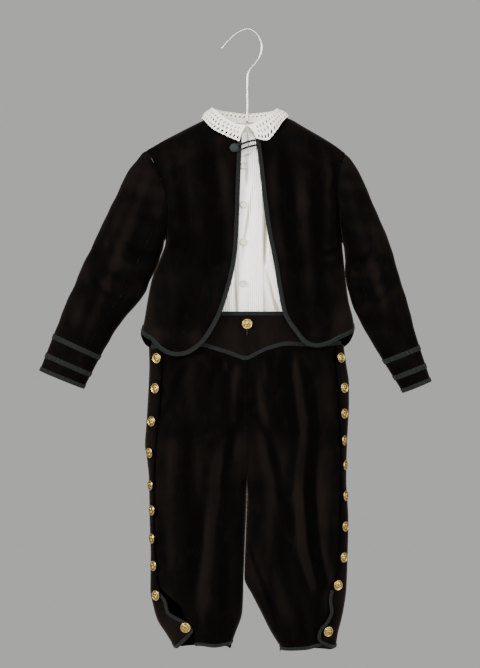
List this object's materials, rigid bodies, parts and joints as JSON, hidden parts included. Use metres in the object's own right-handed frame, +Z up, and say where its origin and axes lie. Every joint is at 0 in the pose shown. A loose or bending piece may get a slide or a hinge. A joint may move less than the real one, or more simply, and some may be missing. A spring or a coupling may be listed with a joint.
{
  "type": "velvet suit on a padded hanger",
  "caption": "Boy's short velvet jacket, buttoned knee breeches and white blouse with a cut-work collar, hanging flat on a padded wire hanger.",
  "frame": {"origin": "inside of the hook's top, where a rail carries the hanger", "axes": "+Z up, -Y towards the front of the suit, +X towards the wearer's left"},
  "size_m": [0.5894, 0.1197, 0.9314],
  "materials": {
    "velvet": "matt pile",
    "braid": "woven, dull",
    "covered_button": "woven, dull",
    "cotton": "matt",
    "pearl": "glossy",
    "gilt": "polished",
    "steel_wire": "polished",
    "padding_cover": "matt"
  },
  "bodies": {
    "root": {"jacket_back": "velvet", "jacket_front_left": "velvet", "jacket_front_right": "velvet", "leg_back_left": "velvet", "leg_back_right": "velvet", "leg_front_left": "velvet", "leg_front_right": "velvet", "sleeve_left_top": "velvet", "sleeve_left_under": "velvet", "sleeve_right_top": "velvet", "sleeve_right_under": "velvet", "waistband": "velvet", "back_binding": "braid", "cuff_binding_left": "braid", "cuff_binding_right": "braid", "cuff_braid_left_lower": "braid", "cuff_braid_left_upper": "braid", "cuff_braid_right_lower": "braid", "cuff_braid_right_upper": "braid", "front_binding_left": "braid", "front_binding_right": "braid", "hem_braid_left": "braid", "hem_braid_right": "braid", "jacket_loop": "braid", "tab_braid_left": "braid", "tab_braid_right": "braid", "waist_braid_low": "braid", "waist_braid_top": "braid", "jacket_button": "covered_button", "blouse_back": "cotton", "blouse_collar": "cotton", "blouse_front_left": "cotton", "blouse_front_right": "cotton", "blouse_button_1": "pearl", "blouse_button_2": "pearl", "blouse_button_3": "pearl", "blouse_button_4": "pearl", "gilt_button_01": "gilt", "gilt_button_02": "gilt", "gilt_button_03": "gilt", "gilt_button_04": "gilt", "gilt_button_05": "gilt", "gilt_button_06": "gilt", "gilt_button_07": "gilt", "gilt_button_08": "gilt", "gilt_button_09": "gilt", "gilt_button_10": "gilt", "gilt_button_11": "gilt", "gilt_button_12": "gilt", "gilt_button_13": "gilt", "gilt_button_14": "gilt", "gilt_button_15": "gilt", "gilt_button_16": "gilt", "gilt_button_17": "gilt", "gilt_button_18": "gilt", "gilt_button_19": "gilt", "gilt_button_20": "gilt", "gilt_button_21": "gilt", "hanger_hook": "steel_wire", "hanger_bar": "padding_cover"}
  },
  "joints": []
}
